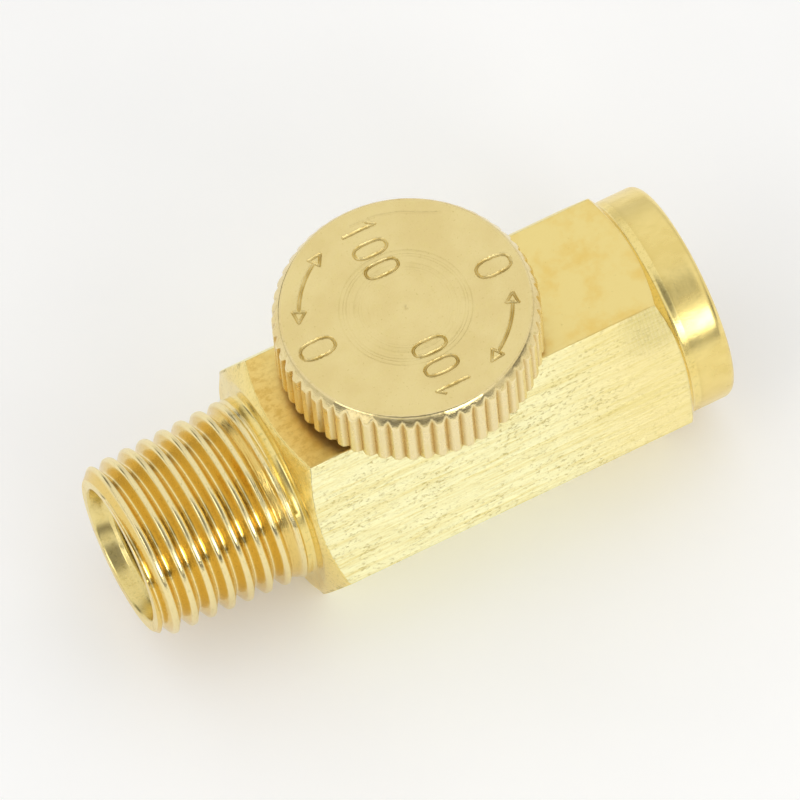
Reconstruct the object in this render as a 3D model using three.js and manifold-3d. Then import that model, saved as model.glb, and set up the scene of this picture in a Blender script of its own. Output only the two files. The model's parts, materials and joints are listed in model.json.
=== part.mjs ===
// Inline brass flow-control valve: a hex body with a male and a female 1/4-18 NPT end,
// and a cross-drilled plug turned by a round dial knob. A quarter turn of the knob swings
// the plug's port from across the pipe (dial at 0, shut) to along it (fully open).
//
// Units are millimetres, +Z up. Every piece is drawn in the valve's own frame, whose origin is
// where the pipe axis (X, towards the female end) crosses the knob axis (Z). The exported
// group then puts the origin in the bottom flat, at the middle of the valve's length.
import * as THREE from "three";
import { mergeVertices } from "three/addons/utils/BufferGeometryUtils.js";
import Module from "manifold-3d";

const wasm = await Module();
wasm.setup();

// ---------------------------------------------------------------- driving dimensions
const acrossFlats = 17;
const maleEndX = -23.05;
const shoulderX = -11.28;
const collarX = 17.37;
const femaleEndX = 20.75;
const collarRadius = 8;
const collarEdgeRadius = 0.6;

const threadPitch = 25.4 / 18; // 1/4-18 NPT
const threadDepth = 0.88;
const threadStartX = 0.32; // the middle of a crest, along the top of the thread
const taperPerSide = 1 / 32;
const maleCrestRadius = 6.45; // at the end face
const maleFaceRadius = 5.75; // where the lead-in chamfer starts
const leadLength = 0.76;
const neckRadius = 6.65; // plain length between the thread and the hex
const femaleRootRadius = 6.76; // at the end face
const femaleThreadLength = 9.4;

const portRadius = 2.8; // the way through the body and the plug
const maleBoreRadius = 4.5;
const maleBoreDepth = 13;
const entryRadius = 5; // the bore's mouth narrows slightly, then steps down to the bore
const entryDepth = 1.1;
const entryTaper = 0.22;
const drillDepth = 11; // of the female end's tap drill

const plugRadius = 4.5;
const plugBottomZ = -5.45;
const plugTopZ = 12.6; // pressed into a blind socket in the knob's underside
const stubRadius = 2.5;
const stubBottomZ = -8.35;
const sealZ = 4.25; // of both O-rings, above and below the pipe axis
const sealWireRadius = 0.64;
const sealGrooveRadius = 3.2;
const sealGrooveWidth = 1.7;

const knobRadius = 9.24; // over the knurl's ridges
const knobFaceRadius = 8.69;
const knobBottomZ = 9.45;
const knobSkirtTopZ = 13.55;
const knobTopZ = 14.38;
const knobFootChamfer = 0.1;
const knurlTeeth = 56;
const knurlDepth = 0.24;

const bodyFloorTopZ = -5.5;
const recessRadius = 4.3;
const recessTopZ = -6.5;
const waveWasherTopZ = -6.52;
const washerTopZ = -7.12;
const washerBottomZ = -7.4;
const clipTopZ = -7.42;
const clipBottomZ = -7.95;

const runningGap = 0.05; // between pieces that turn in one another
const seatGap = 0.02; // between pieces that only touch

// ---------------------------------------------------------------- worked out from them
const flatZ = acrossFlats / 2;
const cornerRadius = acrossFlats / Math.sqrt(3);
const hexChamfer = Math.tan(THREE.MathUtils.degToRad(30));
const drillPoint = 1 / Math.tan(THREE.MathUtils.degToRad(59));
const midLengthX = (maleEndX + femaleEndX) / 2;
const femalePilotRadius = femaleRootRadius - threadDepth - taperPerSide * femaleThreadLength;

const roundSegments = 40;
const threadSegments = 30;

// ---------------------------------------------------------------- solids
function solidFrom(geometry) {
  const bare = geometry.clone();
  bare.deleteAttribute("normal");
  bare.deleteAttribute("uv");
  const merged = mergeVertices(bare, 1e-4);
  return new wasm.Manifold(
    new wasm.Mesh({
      numProp: 3,
      vertProperties: new Float32Array(merged.attributes.position.array),
      triVerts: new Uint32Array(merged.index.array),
    }),
  );
}

// A solid turned about Z from [radius, z] points, lowest first. A profile that starts off
// the axis closes on itself and makes a ring.
function turnedGeometry(profile, segments = roundSegments) {
  const points = profile.map(([radius, along]) => new THREE.Vector2(radius, along));
  if (profile[0][0] > 0) points.push(points[0].clone());
  return new THREE.LatheGeometry(points, segments).rotateX(Math.PI / 2);
}

function turnedAboutZ(profile) {
  return solidFrom(turnedGeometry(profile));
}

// The same about X, from [radius, x] points, lowest x first.
function turnedAboutX(profile) {
  return solidFrom(turnedGeometry(profile).rotateY(Math.PI / 2));
}

// The surface of a tapered right-hand screw about X, drawn as a turned profile whose columns
// are each pushed a little further along, one pitch in a full turn.
function screwAboutX(fromX, toX, crestRadiusAt) {
  const flank = threadDepth * Math.tan(Math.PI / 6);
  const land = threadPitch / 2 - flank;
  const form = [
    [0, 0],
    [land, 0],
    [land + flank, threadDepth],
    [2 * land + flank, threadDepth],
  ];
  const crestX = threadStartX - land / 2;
  const firstX = crestX - Math.ceil((crestX - fromX) / threadPitch) * threadPitch;
  const turns = Math.ceil((toX - firstX) / threadPitch) + 1;
  const profile = [new THREE.Vector2(0, firstX)];
  const depths = [0];
  for (let i = 0; i <= turns * form.length; i++) {
    const [along, depth] = form[i % form.length];
    profile.push(new THREE.Vector2(1, firstX + Math.floor(i / form.length) * threadPitch + along));
    depths.push(depth);
  }
  profile.push(new THREE.Vector2(0, toX + 2 * threadPitch));
  depths.push(0);

  const screw = new THREE.LatheGeometry(profile, threadSegments);
  const position = screw.attributes.position;
  for (let i = 0; i < position.count; i++) {
    const row = i % profile.length;
    if (profile[row].x === 0) continue;
    const share = Math.floor(i / profile.length) / threadSegments;
    const along = profile[row].y + share * threadPitch;
    const radius = crestRadiusAt(along) - depths[row];
    position.setXYZ(i, radius * position.getX(i), along, radius * position.getZ(i));
  }
  // The first and last turns each leave a one-pitch step in the seam's plane.
  const faces = Array.from(screw.index.array);
  const lastRow = profile.length - 1;
  const lastColumn = threadSegments * profile.length;
  for (let row = 1; row <= form.length; row++) {
    faces.push(0, row, row + 1);
    faces.push(lastColumn + lastRow, lastColumn + lastRow - row, lastColumn + lastRow - row - 1);
  }
  screw.setIndex(faces);
  return solidFrom(screw.rotateZ(-Math.PI / 2));
}

function geometryFrom(solid) {
  const mesh = solid.getMesh();
  return new THREE.BufferGeometry()
    .setAttribute("position", new THREE.BufferAttribute(mesh.vertProperties, 3))
    .setIndex(new THREE.BufferAttribute(mesh.triVerts, 1));
}

// A shape in the XY plane, drawn upwards between two heights.
function slab(shape, bottomZ, topZ) {
  const options = { depth: topZ - bottomZ, bevelEnabled: false, curveSegments: 8 };
  return solidFrom(new THREE.ExtrudeGeometry(shape, options).translate(0, 0, bottomZ));
}

// A hole for something that runs in it, longer than the wall that it goes through.
function holeAboutZ(radius, bottomZ, topZ) {
  return turnedAboutZ([[0, bottomZ], [radius, bottomZ], [radius, topZ], [0, topZ]]);
}

// Points of a quarter round on a turned edge, from the side of the piece to its end.
function roundedEdge(radius, along, edgeRadius, steps = 4) {
  return Array.from({ length: steps + 1 }, (_, i) => {
    const angle = (i / steps) * (Math.PI / 2);
    const inset = edgeRadius * (1 - Math.cos(angle));
    return [radius - inset, along - edgeRadius * (1 - Math.sin(angle))];
  });
}

// ---------------------------------------------------------------- body
// Hexagon bar with flats facing up and down, turned to 30-degree chamfers and the collar.
function hexAndCollar() {
  const corners = Array.from({ length: 6 }, (_, i) => {
    const angle = (i * Math.PI) / 3;
    return new THREE.Vector2(cornerRadius * Math.sin(angle), cornerRadius * Math.cos(angle));
  });
  const bar = slab(new THREE.Shape(corners), shoulderX, femaleEndX).rotate([0, 90, 0]);
  const reach = cornerRadius + 0.5;
  const chamferRun = (reach - collarRadius) * hexChamfer;
  const turned = turnedAboutX([
    [0, shoulderX],
    [collarRadius, shoulderX],
    [reach, shoulderX + chamferRun],
    [reach, collarX - chamferRun],
    [collarRadius, collarX],
    ...roundedEdge(collarRadius, femaleEndX, collarEdgeRadius),
    [0, femaleEndX],
  ]);
  return bar.intersect(turned);
}

function maleThread() {
  const crestRadiusAt = (x) => maleCrestRadius + (x - maleEndX) * taperPerSide;
  const neckX = shoulderX - 0.7;
  const stock = turnedAboutX([
    [0, maleEndX],
    [maleFaceRadius, maleEndX],
    [crestRadiusAt(maleEndX) + 0.1, maleEndX + leadLength],
    [crestRadiusAt(neckX), neckX],
    [0, neckX],
  ]);
  // The tool runs out here, so the last groove is shallow and the rest is plain.
  const runOut = turnedAboutX([
    [0, neckX - 1.3],
    [neckRadius - threadDepth, neckX - 1.3],
    [neckRadius, neckX - 0.1],
    [neckRadius, shoulderX + 0.5],
    [0, shoulderX + 0.5],
  ]);
  const start = maleEndX - 3 * threadPitch;
  return screwAboutX(start, neckX + threadPitch, crestRadiusAt).intersect(stock).add(runOut);
}

function flowPassage() {
  const bottomX = maleEndX + maleBoreDepth;
  return turnedAboutX([
    [0, maleEndX - 1],
    [entryRadius + entryTaper, maleEndX - 1],
    [entryRadius - entryTaper * entryDepth, maleEndX + entryDepth],
    [maleBoreRadius, maleEndX + entryDepth + 0.25],
    [maleBoreRadius, bottomX],
    [portRadius, bottomX + (maleBoreRadius - portRadius) * drillPoint],
    [portRadius, plugRadius + 2],
    [0, plugRadius + 2],
  ]);
}

function femalePort() {
  const bottomX = femaleEndX - drillDepth;
  const mouth = femaleRootRadius + 0.1;
  const drilled = turnedAboutX([
    [0, plugRadius],
    [portRadius, plugRadius],
    [portRadius, bottomX - (femalePilotRadius - portRadius) * drillPoint],
    [femalePilotRadius, bottomX],
    [femalePilotRadius, femaleEndX - 0.9],
    [mouth, femaleEndX],
    [mouth, femaleEndX + 1],
    [0, femaleEndX + 1],
  ]);
  const rootRadiusAt = (x) => femaleRootRadius + (x - femaleEndX) * taperPerSide;
  const threadEndX = femaleEndX - femaleThreadLength;
  const tapped = turnedAboutX([
    [0, threadEndX],
    [femalePilotRadius, threadEndX],
    [mouth, threadEndX + 1],
    [mouth, femaleEndX + 1],
    [0, femaleEndX + 1],
  ]);
  const tap = screwAboutX(threadEndX - 3 * threadPitch, femaleEndX + threadPitch, rootRadiusAt);
  return drilled.add(tap.intersect(tapped));
}

// Bored from above for the plug and counterbored from below for the parts that retain it.
function plugBore() {
  const bore = plugRadius + runningGap;
  const stub = stubRadius + runningGap;
  return turnedAboutZ([
    [0, -flatZ - 1],
    [recessRadius, -flatZ - 1],
    [recessRadius, recessTopZ],
    [stub, recessTopZ],
    [stub, bodyFloorTopZ],
    [bore, bodyFloorTopZ],
    [bore, flatZ - 0.2],
    [bore + 0.2, flatZ],
    [bore + 0.2, flatZ + 1],
    [0, flatZ + 1],
  ]);
}

function valveBody() {
  return hexAndCollar()
    .add(maleThread())
    .subtract(flowPassage())
    .subtract(femalePort())
    .subtract(plugBore());
}

// ---------------------------------------------------------------- plug and dial
function meteringPlug() {
  const groove = sealGrooveWidth / 2;
  const clipGrooveRadius = 2;
  const turned = turnedAboutZ([
    [0, stubBottomZ],
    [stubRadius - 0.3, stubBottomZ],
    [stubRadius, stubBottomZ + 0.3],
    [stubRadius, clipBottomZ - seatGap],
    [clipGrooveRadius, clipBottomZ - seatGap],
    [clipGrooveRadius, clipTopZ + seatGap],
    [stubRadius, clipTopZ + seatGap],
    [stubRadius, plugBottomZ],
    [plugRadius, plugBottomZ],
    [plugRadius, -sealZ - groove],
    [sealGrooveRadius, -sealZ - groove],
    [sealGrooveRadius, -sealZ + groove],
    [plugRadius, -sealZ + groove],
    [plugRadius, sealZ - groove],
    [sealGrooveRadius, sealZ - groove],
    [sealGrooveRadius, sealZ + groove],
    [plugRadius, sealZ + groove],
    [plugRadius, plugTopZ - 0.3],
    [plugRadius - 0.3, plugTopZ],
    [0, plugTopZ],
  ]);
  // Shut: the port lies across the pipe.
  const port = holeAboutZ(portRadius, -plugRadius - 1, plugRadius + 1).rotate([90, 0, 0]);
  return turned.subtract(port);
}

// Straight-knurled rim: rounded grooves between narrow ridges.
function knurledDisc() {
  const pointsPerTooth = 5;
  const outline = Array.from({ length: knurlTeeth * pointsPerTooth }, (_, i) => {
    const across = (i % pointsPerTooth) / pointsPerTooth;
    const angle = (i / pointsPerTooth) * ((2 * Math.PI) / knurlTeeth);
    const radius = knobRadius - knurlDepth * Math.sin(Math.PI * across);
    return new THREE.Vector2(radius * Math.cos(angle), radius * Math.sin(angle));
  });
  return slab(new THREE.Shape(outline), knobBottomZ, knobTopZ);
}

function controlKnob() {
  const envelope = turnedAboutZ([
    [0, knobBottomZ],
    [knobRadius - knobFootChamfer, knobBottomZ],
    [knobRadius + 0.01, knobBottomZ + knobFootChamfer],
    [knobRadius + 0.01, knobSkirtTopZ],
    [knobFaceRadius, knobTopZ],
    [0, knobTopZ],
  ]);
  const socket = holeAboutZ(plugRadius + seatGap, knobBottomZ - 1, plugTopZ + 0.1);
  return knurledDisc().intersect(envelope).subtract(socket);
}

function thrustWasher() {
  const inner = plugRadius + runningGap;
  const outer = 5.75;
  const bottom = flatZ + seatGap;
  const top = knobBottomZ - seatGap;
  return turnedAboutZ([[inner, bottom], [outer, bottom], [outer, top], [inner, top]]);
}

function oRing(centreZ) {
  const fit = 0.015;
  const middle = sealGrooveRadius + sealWireRadius + fit;
  const ring = new THREE.TorusGeometry(middle, sealWireRadius, 10, 32);
  return solidFrom(ring.translate(0, 0, centreZ));
}

// ---------------------------------------------------------------- retaining parts
function flatWasher() {
  const inner = stubRadius + runningGap;
  const outer = 4.1;
  return turnedAboutZ([
    [inner, washerBottomZ],
    [outer, washerBottomZ],
    [outer, washerTopZ - seatGap],
    [inner, washerTopZ - seatGap],
  ]);
}

// Spring steel ring with three waves.
function waveWasher() {
  const thickness = 0.25;
  const inner = 2.7;
  const outer = 4;
  const middleZ = (waveWasherTopZ + washerTopZ) / 2;
  const amplitude = (waveWasherTopZ - washerTopZ - thickness) / 2;
  const half = thickness / 2;
  const ring = turnedGeometry([[inner, -half], [outer, -half], [outer, half], [inner, half]]);
  const position = ring.attributes.position;
  for (let i = 0; i < position.count; i++) {
    const angle = Math.atan2(position.getY(i), position.getX(i));
    position.setZ(i, position.getZ(i) + middleZ + amplitude * Math.cos(3 * angle));
  }
  return solidFrom(ring);
}

// E-clip: an open ring with three prongs that grip the groove in the plug's stub.
function retainingClip() {
  const outer = 3.9;
  const inner = 3;
  const grip = 2.03;
  const mouth = THREE.MathUtils.degToRad(32);
  const prong = THREE.MathUtils.degToRad(16);
  const shape = new THREE.Shape();
  shape.absarc(0, 0, outer, mouth, 2 * Math.PI - mouth, false);
  shape.absarc(0, 0, grip, 2 * Math.PI - mouth, 2 * Math.PI - mouth - prong, true);
  shape.absarc(0, 0, inner, 2 * Math.PI - mouth - prong, Math.PI + prong, true);
  shape.absarc(0, 0, grip, Math.PI + prong, Math.PI - prong, true);
  shape.absarc(0, 0, inner, Math.PI - prong, mouth + prong, true);
  shape.absarc(0, 0, grip, mouth + prong, mouth, true);
  shape.closePath();
  return slab(shape, clipBottomZ, clipTopZ);
}

// ---------------------------------------------------------------- materials
const material = (name, color, roughness, metalness) =>
  Object.assign(new THREE.MeshStandardMaterial({ color, roughness, metalness }), { name });

const brass = () => material("brass", 0xd9bf6a, 0.32, 1);
const knobBrass = () => material("satin_brass", 0xdcc67c, 0.42, 1);
const steel = () => material("spring_steel", 0x8f9295, 0.35, 1);
const rubber = () => material("nitrile_rubber", 0x1a1a1b, 0.75, 0);
const nylon = () => material("nylon", 0xe6e1d2, 0.6, 0);

// ---------------------------------------------------------------- assembly
const valve = new THREE.Group();
valve.name = "inline_flow_control_valve";
valve.position.set(-midLengthX, 0, flatZ);

const pieces = [
  ["valve_body", valveBody, brass],
  ["metering_plug", meteringPlug, brass],
  ["control_knob", controlKnob, knobBrass],
  ["thrust_washer", thrustWasher, nylon],
  ["upper_o_ring", () => oRing(sealZ), rubber],
  ["lower_o_ring", () => oRing(-sealZ), rubber],
  ["wave_washer", waveWasher, steel],
  ["flat_washer", flatWasher, steel],
  ["retaining_clip", retainingClip, steel],
];
for (const [name, solid, finish] of pieces) {
  const mesh = new THREE.Mesh(geometryFrom(solid()), finish());
  mesh.name = name;
  valve.add(mesh);
}

export default valve;
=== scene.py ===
"""Inline brass flow-control valve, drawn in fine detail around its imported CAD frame.

Shapes are worked out in millimetres in the valve's own frame, whose origin is where the pipe
axis (X, towards the female end) crosses the dial's axis (Z). place() puts them in the row's
frame, in metres.
"""

import functools
import json
import math

import bmesh
import bpy
import numpy as np
from mathutils import Matrix, Vector


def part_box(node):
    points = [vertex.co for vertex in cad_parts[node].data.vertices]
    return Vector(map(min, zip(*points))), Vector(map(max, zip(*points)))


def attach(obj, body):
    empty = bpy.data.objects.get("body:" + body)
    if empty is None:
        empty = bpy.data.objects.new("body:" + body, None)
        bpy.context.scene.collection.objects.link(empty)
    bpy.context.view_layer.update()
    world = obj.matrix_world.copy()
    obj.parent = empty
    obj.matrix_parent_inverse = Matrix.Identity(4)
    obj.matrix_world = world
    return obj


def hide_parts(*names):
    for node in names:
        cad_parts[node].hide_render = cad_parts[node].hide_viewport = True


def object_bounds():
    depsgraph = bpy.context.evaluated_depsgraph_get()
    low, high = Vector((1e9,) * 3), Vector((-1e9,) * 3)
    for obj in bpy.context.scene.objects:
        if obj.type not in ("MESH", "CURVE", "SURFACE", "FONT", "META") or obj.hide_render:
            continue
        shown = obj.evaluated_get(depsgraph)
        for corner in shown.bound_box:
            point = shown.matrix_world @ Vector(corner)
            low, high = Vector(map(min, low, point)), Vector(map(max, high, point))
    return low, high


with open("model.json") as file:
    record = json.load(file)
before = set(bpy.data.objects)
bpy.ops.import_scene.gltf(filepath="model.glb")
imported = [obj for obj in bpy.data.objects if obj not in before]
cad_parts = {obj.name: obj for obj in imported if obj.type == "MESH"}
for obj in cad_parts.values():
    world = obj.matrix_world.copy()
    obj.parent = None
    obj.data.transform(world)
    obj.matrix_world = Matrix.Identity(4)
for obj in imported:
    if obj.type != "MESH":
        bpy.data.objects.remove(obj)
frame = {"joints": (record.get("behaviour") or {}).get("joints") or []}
cad_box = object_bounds()

MM = 0.001
TURN = 2 * math.pi

# ------------------------------------------------------------------ sizes read from the frame
crossing = np.array(frame["joints"][0]["pos_m"]) / MM


def node_box(node):
    low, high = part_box(node)
    return np.array(low) / MM - crossing, np.array(high) / MM - crossing


body_low, body_high = node_box("valve_body")
knob_low, knob_high = node_box("control_knob")
plug_low, plug_high = node_box("metering_plug")
wave_low, wave_high = node_box("wave_washer")
washer_low, washer_high = node_box("flat_washer")
clip_low, clip_high = node_box("retaining_clip")
thrust_low, thrust_high = node_box("thrust_washer")
seal_low, seal_high = node_box("upper_o_ring")

MALE_X = body_low[0]
FEMALE_X = body_high[0]
FLAT = -body_low[2]
KNOB_R = (knob_high[1] - knob_low[1]) / 2
KNOB_BOTTOM = knob_low[2]
KNOB_TOP = knob_high[2]

# ------------------------------------------------------------------ sizes of finer features
SHOULDER_X = MALE_X + 11.77
COLLAR_X = FEMALE_X - 3.38
COLLAR_R = 8.0
PITCH = 25.4 / 18
TAPER = 1 / 32
MALE_CREST_R = 6.45
FEMALE_ROOT_R = 6.76
FEMALE_THREAD = 9.4
THREAD_DEPTH = 0.88
THREAD_START = 0.32
LEAD_R = 5.75
LEAD_SLOPE = 1.05
NECK_R = 6.65
RUN_OUT = 2.1
RUN_OUT_SLOPE = 0.45
ENTRY_R = 5.0
ENTRY_TAPER = 0.22
MALE_BORE_R = 4.5
MALE_BORE = 13
FEMALE_DRILL = 11
COLLAR_ROUND = 0.6
PORT_R = 2.8
PLUG_R = 4.5
STUB_R = 2.5
CORNER_ROUND = 0.22
HEX_CHAMFER = math.tan(math.radians(30))
DRILL_POINT = 1 / math.tan(math.radians(59))

KNURL_TEETH = 56
KNURL_DEPTH = 0.24
KNOB_FACE_R = 8.69
KNOB_CHAMFER = 0.83
KNOB_FOOT = 0.1

# Where the near flat's chatter starts, in the row's frame.
CHATTER_X = FEMALE_X - 8.53 + crossing[0]
CHATTER_Z = FLAT * 1.55

SHARP_DEGREES = 38

# Material slots of the body, and of the knob.
FLAT_ZONE, TOP_ZONE, TURNED_ZONE, THREAD_ZONE, COLLAR_ZONE, BORE_ZONE = range(6)
RIM, FACE, CHAMFER = range(3)


def place(points):
    """Valve-frame millimetres to row-frame metres."""
    return (np.asarray(points, float) + crossing) * MM


# ------------------------------------------------------------------ mesh building
def finish_mesh(mesh, sharp_degrees=SHARP_DEGREES):
    """Welds coincident points, points every face outwards and smooths all but real edges."""
    work = bmesh.new()
    work.from_mesh(mesh)
    bmesh.ops.remove_doubles(work, verts=work.verts, dist=3e-7)
    bmesh.ops.recalc_face_normals(work, faces=work.faces)
    work.to_mesh(mesh)
    work.free()
    mesh.shade_smooth()
    mesh.set_sharp_from_angle(angle=math.radians(sharp_degrees))
    mesh.update()


def add_piece(name, mesh):
    piece = bpy.data.objects.new(name, mesh)
    bpy.context.scene.collection.objects.link(piece)
    return piece


def grid_piece(name, points, zones=None, ring=False, sharp_degrees=SHARP_DEGREES):
    """A surface over a (columns, rows, 3) grid whose last column meets its first.

    zones gives each row's material slot; ring joins the last row to the first."""
    columns, rows = points.shape[:2]
    row_count = rows if ring else rows - 1
    column, row = np.meshgrid(np.arange(columns - 1), np.arange(row_count), indexing="ij")
    after = (row + 1) % rows
    quads = np.stack(
        [
            column * rows + row,
            (column + 1) * rows + row,
            (column + 1) * rows + after,
            column * rows + after,
        ],
        -1,
    ).reshape(-1, 4)
    mesh = bpy.data.meshes.new(name)
    mesh.from_pydata(place(points.reshape(-1, 3)).tolist(), [], quads.tolist())
    if zones is not None:
        zones = np.broadcast_to(zones, (columns, rows))
        mesh.polygons.foreach_set("material_index", zones[:-1, :row_count].reshape(-1))
    finish_mesh(mesh, sharp_degrees)
    return add_piece(name, mesh)


def softened(profile, radius, steps=3):
    """The polyline with each inner corner replaced by a short round."""
    points = [np.array(p, float) for p in profile]
    result = [points[0]]
    for before, corner, after in zip(points, points[1:], points[2:]):
        to_before = before - corner
        to_after = after - corner
        reach = min(radius, np.linalg.norm(to_before) * 0.45, np.linalg.norm(to_after) * 0.45)
        start = corner + to_before / np.linalg.norm(to_before) * reach
        end = corner + to_after / np.linalg.norm(to_after) * reach
        for i in range(steps + 1):
            t = i / steps
            result.append((1 - t) ** 2 * start + 2 * t * (1 - t) * corner + t * t * end)
    result.append(points[-1])
    return np.array(result)


def turned_piece(name, profile, segments=160, round_radius=0.08, ring=False, lift=None):
    """A solid turned about Z from [radius, z] points; lift adds height by angle."""
    if ring:
        profile = softened([*profile, profile[0], profile[1]], round_radius)[1:-1]
    else:
        profile = softened(profile, round_radius)
    angle = np.linspace(0, TURN, segments + 1)[:, None]
    radius = profile[None, :, 0]
    height = profile[None, :, 1] + (lift(angle) if lift else 0 * angle)
    points = np.stack([radius * np.cos(angle), radius * np.sin(angle), height], -1)
    return grid_piece(name, points, ring=ring)


def cut(piece, cutter):
    """Takes the cutter's solid away from the piece's, and the cutter from the scene."""
    modifier = piece.modifiers.new("cut", "BOOLEAN")
    modifier.operation = "DIFFERENCE"
    modifier.solver = "MANIFOLD"
    modifier.object = cutter
    depsgraph = bpy.context.evaluated_depsgraph_get()
    mesh = bpy.data.meshes.new_from_object(piece.evaluated_get(depsgraph))
    piece.modifiers.clear()
    mesh.name = piece.name
    piece.data = mesh
    bpy.data.objects.remove(cutter)
    mesh.shade_smooth()
    mesh.set_sharp_from_angle(angle=math.radians(SHARP_DEGREES))


# ------------------------------------------------------------------ valve body
FLAT_HALF = (FLAT - CORNER_ROUND) * math.tan(math.pi / 6)
FLAT_ANGLE = math.atan(FLAT_HALF / FLAT)


def bar_columns():
    """Angles about the pipe axis, from the top towards the near side, crowded at corners."""
    flat = np.arctan(np.linspace(-FLAT_HALF, FLAT_HALF, 53) / FLAT)
    corner = np.linspace(FLAT_ANGLE, math.pi / 3 - FLAT_ANGLE, 8)[1:-1]
    sector = np.concatenate([flat, corner])
    turns = [sector + i * math.pi / 3 for i in range(6)]
    return np.concatenate([*turns, [flat[0] + TURN]])


def bar_radius(angle):
    """The hexagon bar's radius at each angle, with its corners slightly rounded."""
    across = np.abs((angle + math.pi / 6) % (math.pi / 3) - math.pi / 6)
    centre = (FLAT - CORNER_ROUND) / math.cos(math.pi / 6)
    off = math.pi / 6 - across
    under_root = np.maximum(CORNER_ROUND**2 - (centre * np.sin(off)) ** 2, 0)
    rounded = centre * np.cos(off) + np.sqrt(under_root)
    return np.where(across <= FLAT_ANGLE + 1e-9, FLAT / np.cos(across), rounded)


def soft_min(a, b, blend):
    share = np.clip(0.5 + 0.5 * (b - a) / blend, 0, 1)
    return b * (1 - share) + a * share - blend * share * (1 - share)


def soft_max(a, b, blend):
    return -soft_min(-a, -b, blend)


def thread_depth(x, angle):
    """How far below its crest a right-hand 60-degree thread is, rounded at crest and root."""
    phase = (x - THREAD_START) / PITCH - angle / TURN
    from_crest = np.abs((phase + 0.5) % 1 - 0.5) * PITCH
    flank = from_crest * math.sqrt(3) - 0.26
    return soft_min(soft_max(flank, 0 * flank, 0.12), 0 * flank + THREAD_DEPTH, 0.2)


def thread_stations(from_x, to_x, angle, per_pitch=20):
    """Stations along x that follow the helix, held back at the two ends."""
    first = math.floor((from_x / PITCH - 1) * per_pitch) - 1
    last = math.ceil((to_x / PITCH + 1) * per_pitch) + 1
    steps = np.arange(first, last + 1)[None, :] / per_pitch
    return np.clip((steps + angle / TURN) * PITCH, from_x, to_x)


def stations(ones, pairs, zone=TURNED_ZONE):
    """An (x, radius, zone) block from pairs that are numbers or columns by angle."""
    xs = np.concatenate([p[0] * ones for p in pairs], 1)
    radii = np.concatenate([p[1] * ones for p in pairs], 1)
    return xs, radii, zone


def outer_stations(angle):
    """(x, radius, zone) blocks from the male end face to the female end face."""
    block = functools.partial(stations, np.ones_like(angle))
    bar = bar_radius(angle)
    thread_end = SHOULDER_X - 0.75
    xs = thread_stations(MALE_X, thread_end, angle)
    crest = MALE_CREST_R + (xs - MALE_X) * TAPER
    lead = LEAD_R + (xs - MALE_X) * LEAD_SLOPE
    run_out = NECK_R - THREAD_DEPTH + (xs - (thread_end - RUN_OUT)) * RUN_OUT_SLOPE
    radii = soft_max(crest - thread_depth(xs, angle), run_out, 0.1)
    radii = soft_min(radii, crest, 0.05)
    radii = soft_min(radii, lead, 0.08)
    thread = (xs, radii, THREAD_ZONE)

    chamfer_run = (bar - COLLAR_R) * HEX_CHAMFER
    ragged = np.sin(angle * 97) * np.sin(angle * 41 + 1) + 0.7 * np.sin(angle * 173 + 2)
    left = SHOULDER_X + chamfer_run + 0.03 * ragged
    right = COLLAR_X - chamfer_run
    flats = [(x, bar) for x in np.linspace(SHOULDER_X + 1.5, COLLAR_X - 1.5, 60)]
    edge = [(-0.06, 0.104), (-0.01, 0.035), (0.035, 0.008), (0.1, 0)]
    arc = [
        (
            FEMALE_X - COLLAR_ROUND * (1 - math.sin(t)),
            COLLAR_R - COLLAR_ROUND * (1 - math.cos(t)),
        )
        for t in np.linspace(0, math.pi / 2, 11)
    ]
    return [
        block([(MALE_X, r) for r in (5.06, 5.2, 5.35, 5.5)], TURNED_ZONE),
        thread,
        block(
            [
                (SHOULDER_X - 0.6, NECK_R),
                (SHOULDER_X - 0.25, NECK_R),
                (SHOULDER_X - 0.12, NECK_R + 0.02),
                (SHOULDER_X - 0.04, NECK_R + 0.08),
                (SHOULDER_X, NECK_R + 0.2),
                (SHOULDER_X, NECK_R + 0.5),
                (SHOULDER_X, COLLAR_R - 0.3),
                (SHOULDER_X, COLLAR_R - 0.08),
                (SHOULDER_X + 0.012, COLLAR_R - 0.01),
                (SHOULDER_X + 0.04, COLLAR_R + 0.07),
            ],
            TURNED_ZONE,
        ),
        block(
            [
                (SHOULDER_X + chamfer_run * t, COLLAR_R + (bar - COLLAR_R) * t)
                for t in (0.4, 0.65)
            ],
            TURNED_ZONE,
        ),
        block([(left + dx, bar - drop) for dx, drop in edge[:2]], TURNED_ZONE),
        block([(left + dx, bar - drop) for dx, drop in edge[2:]] + [(left + 0.3, bar)], FLAT_ZONE),
        block(flats, FLAT_ZONE),
        block([(right - 0.3, bar), (right - 0.1, bar), (right - 0.035, bar - 0.008)], FLAT_ZONE),
        block([(right + 0.01, bar - 0.035), (right + 0.06, bar - 0.104)], TURNED_ZONE),
        block(
            [
                (COLLAR_X - chamfer_run * t, COLLAR_R + (bar - COLLAR_R) * t)
                for t in (0.65, 0.4, 0.15)
            ],
            TURNED_ZONE,
        ),
        block(
            [
                (COLLAR_X - 0.04, COLLAR_R + 0.04),
                (COLLAR_X + 0.03, COLLAR_R - 0.015),
                (COLLAR_X + 0.12, COLLAR_R - 0.03),
                (COLLAR_X + 0.25, COLLAR_R - 0.025),
                (COLLAR_X + 0.4, COLLAR_R),
            ],
            TURNED_ZONE,
        ),
        block([(x, COLLAR_R) for x in np.linspace(COLLAR_X + 0.6, FEMALE_X - 0.8, 8)], COLLAR_ZONE),
        block(arc, COLLAR_ZONE),
        block([(FEMALE_X, r) for r in (7.34, 7.2, 7.0, FEMALE_ROOT_R + 0.16)], TURNED_ZONE),
    ]


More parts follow.
